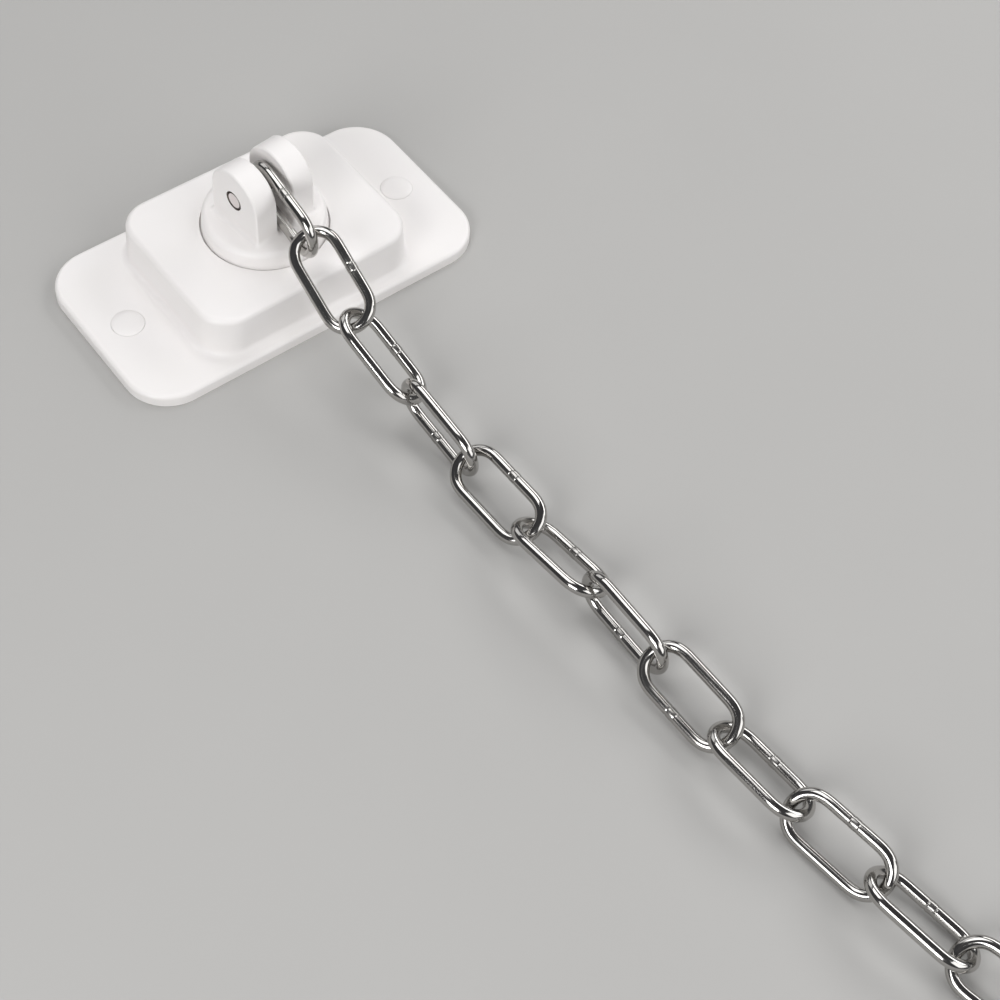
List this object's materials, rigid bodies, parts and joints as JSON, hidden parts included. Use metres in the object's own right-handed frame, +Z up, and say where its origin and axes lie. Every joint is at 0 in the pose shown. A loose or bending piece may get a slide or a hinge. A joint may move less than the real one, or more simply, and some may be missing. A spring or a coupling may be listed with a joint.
{
  "type": "window restrictor",
  "caption": "Window restrictor: a screwed plate with a raised housing, a swivelling clevis turret and a welded-link chain that limits how far a window opens.",
  "frame": {"origin": "middle of the plate's underside, on the turret's axis", "axes": "+Z up out of the plate, +X along the plate's long side; the chain leaves towards -Y"},
  "size_m": [0.09, 0.2582, 0.0329],
  "materials": {
    "white_moulding": "white moulded plastic with a soft gloss",
    "white_pin": "steel pin painted white",
    "plated_steel": "zinc-plated steel",
    "polished_chain": "bright polished steel wire"
  },
  "bodies": {
    "base": {"base_housing": "white_moulding", "screw_cap_left": "white_moulding", "screw_cap_right": "white_moulding"},
    "turret": {"turret": "white_moulding", "pivot_pin": "white_pin", "retaining_washer": "plated_steel", "retaining_screw": "plated_steel"},
    "link_01": {"chain_link_01": "polished_chain"},
    "link_02": {"chain_link_02": "polished_chain"},
    "link_03": {"chain_link_03": "polished_chain"},
    "link_04": {"chain_link_04": "polished_chain"},
    "link_05": {"chain_link_05": "polished_chain"},
    "link_06": {"chain_link_06": "polished_chain"},
    "link_07": {"chain_link_07": "polished_chain"},
    "link_08": {"chain_link_08": "polished_chain"},
    "link_09": {"chain_link_09": "polished_chain"},
    "link_10": {"chain_link_10": "polished_chain"},
    "link_11": {"chain_link_11": "polished_chain"},
    "link_12": {"chain_link_12": "polished_chain"}
  },
  "joints": [
    {"name": "turret_swivel", "type": "hinge", "parent": "base", "child": "turret", "pos_m": [0, 0, 0.0134], "axis": [0, 0, 1], "continuous": true},
    {"name": "link_01_hinge", "type": "hinge", "parent": "turret", "child": "link_01", "pos_m": [0, 0, 0.0254], "axis": [-0.9936, -0.1132, 0], "range_deg": [0, 180]},
    {"name": "link_02_hinge", "type": "hinge", "parent": "link_01", "child": "link_02", "pos_m": [-0.00033, -0.01946, 0.02266], "axis": [-0.0049, -0.1391, 0.9903], "range_deg": [-45, 24]},
    {"name": "link_03_hinge", "type": "hinge", "parent": "link_02", "child": "link_03", "pos_m": [-0.0013, -0.03787, 0.01558], "axis": [0.8729, -0.2142, 0.4383], "range_deg": [-40, 45]},
    {"name": "link_04_hinge", "type": "hinge", "parent": "link_03", "child": "link_04", "pos_m": [0.00032, -0.05636, 0.00883], "axis": [0.8656, 0.2369, -0.4412], "range_deg": [-45, 30]},
    {"name": "link_05_hinge", "type": "hinge", "parent": "link_04", "child": "link_05", "pos_m": [0.00066, -0.07586, 0.00574], "axis": [0.067, 0.1572, -0.9853], "range_deg": [-45, 45]},
    {"name": "link_06_hinge", "type": "hinge", "parent": "link_05", "child": "link_06", "pos_m": [0.00135, -0.09559, 0.00505], "axis": [0.8482, 0.0111, 0.5296], "range_deg": [-45, 45]},
    {"name": "link_07_hinge", "type": "hinge", "parent": "link_06", "child": "link_07", "pos_m": [0.00203, -0.11522, 0.00711], "axis": [0.8673, -0.022, -0.4973], "range_deg": [-45, 45]},
    {"name": "link_08_hinge", "type": "hinge", "parent": "link_07", "child": "link_08", "pos_m": [0.00203, -0.13494, 0.00608], "axis": [0, 0.0523, -0.9986], "range_deg": [-42, 45]},
    {"name": "link_09_hinge", "type": "hinge", "parent": "link_08", "child": "link_09", "pos_m": [0.00272, -0.15463, 0.0047], "axis": [0.8395, -0.0087, 0.5433], "range_deg": [-45, 45]},
    {"name": "link_10_hinge", "type": "hinge", "parent": "link_09", "child": "link_10", "pos_m": [0.00376, -0.17435, 0.0047], "axis": [0.8898, 0.0466, -0.454], "range_deg": [-45, 45]},
    {"name": "link_11_hinge", "type": "hinge", "parent": "link_10", "child": "link_11", "pos_m": [0.00582, -0.19399, 0.00504], "axis": [0.7261, 0.0883, 0.6819], "range_deg": [-45, 45]},
    {"name": "link_12_hinge", "type": "hinge", "parent": "link_11", "child": "link_12", "pos_m": [0.00856, -0.21352, 0.00401], "axis": [0.8451, 0.146, -0.5143], "range_deg": [-45, 45]}
  ]
}
